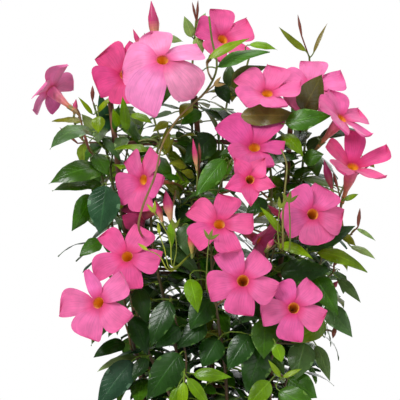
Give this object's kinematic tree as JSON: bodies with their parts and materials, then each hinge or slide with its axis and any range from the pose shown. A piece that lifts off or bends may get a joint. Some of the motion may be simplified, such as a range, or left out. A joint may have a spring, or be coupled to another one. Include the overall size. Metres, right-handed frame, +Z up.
{
  "type": "potted mandevilla on a trellis",
  "caption": "Climbing mandevilla with pink trumpet blooms, buds and glossy leaves, trained on a small fan trellis of stained stakes in a round clay pot.",
  "frame": {"origin": "centre of the pot's base, on the ground", "axes": "+Z up from the ground, +X to the viewer's right in the picture, -Y toward the viewer"},
  "size_m": [0.3592, 0.2438, 0.603],
  "materials": {
    "pot_clay": "unglazed",
    "soil": "loose and dark",
    "stake_wood": "stained",
    "cane": "dark cane",
    "wire": "black coated",
    "foliage": "glossy leaf",
    "petal": "soft petal",
    "bud": "soft petal"
  },
  "bodies": {
    "root": {"pot": "pot_clay", "soil": "soil", "stake_left": "stake_wood", "stake_middle": "stake_wood", "stake_right": "stake_wood", "band_upper_front": "cane", "band_upper_back": "cane", "band_lower_front": "cane", "band_lower_back": "cane", "rung_bottom": "cane", "wire_ring": "wire", "vine_left_outer": "foliage", "vine_left_inner": "foliage", "vine_arching": "foliage", "vine_crossing": "foliage", "vine_middle": "foliage", "vine_front_middle": "foliage", "vine_right_inner": "foliage", "vine_right_outer": "foliage", "vine_right_far": "foliage", "vine_lower_left": "foliage", "vine_lower_right": "foliage", "vine_back_left": "foliage", "vine_back_middle": "foliage", "vine_back_right": "foliage", "bloom_01": "petal", "bloom_02": "petal", "bloom_03": "petal", "bloom_04": "petal", "bloom_05": "petal", "bloom_06": "petal", "bloom_07": "petal", "bloom_08": "petal", "bloom_09": "petal", "bloom_10": "petal", "bloom_11": "petal", "bloom_12": "petal", "bloom_13": "petal", "bloom_14": "petal", "bloom_15": "petal", "bloom_16": "petal", "bloom_17": "petal", "bloom_18": "petal", "bloom_19": "petal", "bud_01": "bud", "bud_02": "bud", "bud_03": "bud", "bud_04": "bud", "bud_05": "bud", "bud_06": "bud", "bud_07": "bud", "bud_08": "bud", "bud_09": "bud", "bud_10": "bud", "bud_11": "bud"}
  },
  "joints": []
}
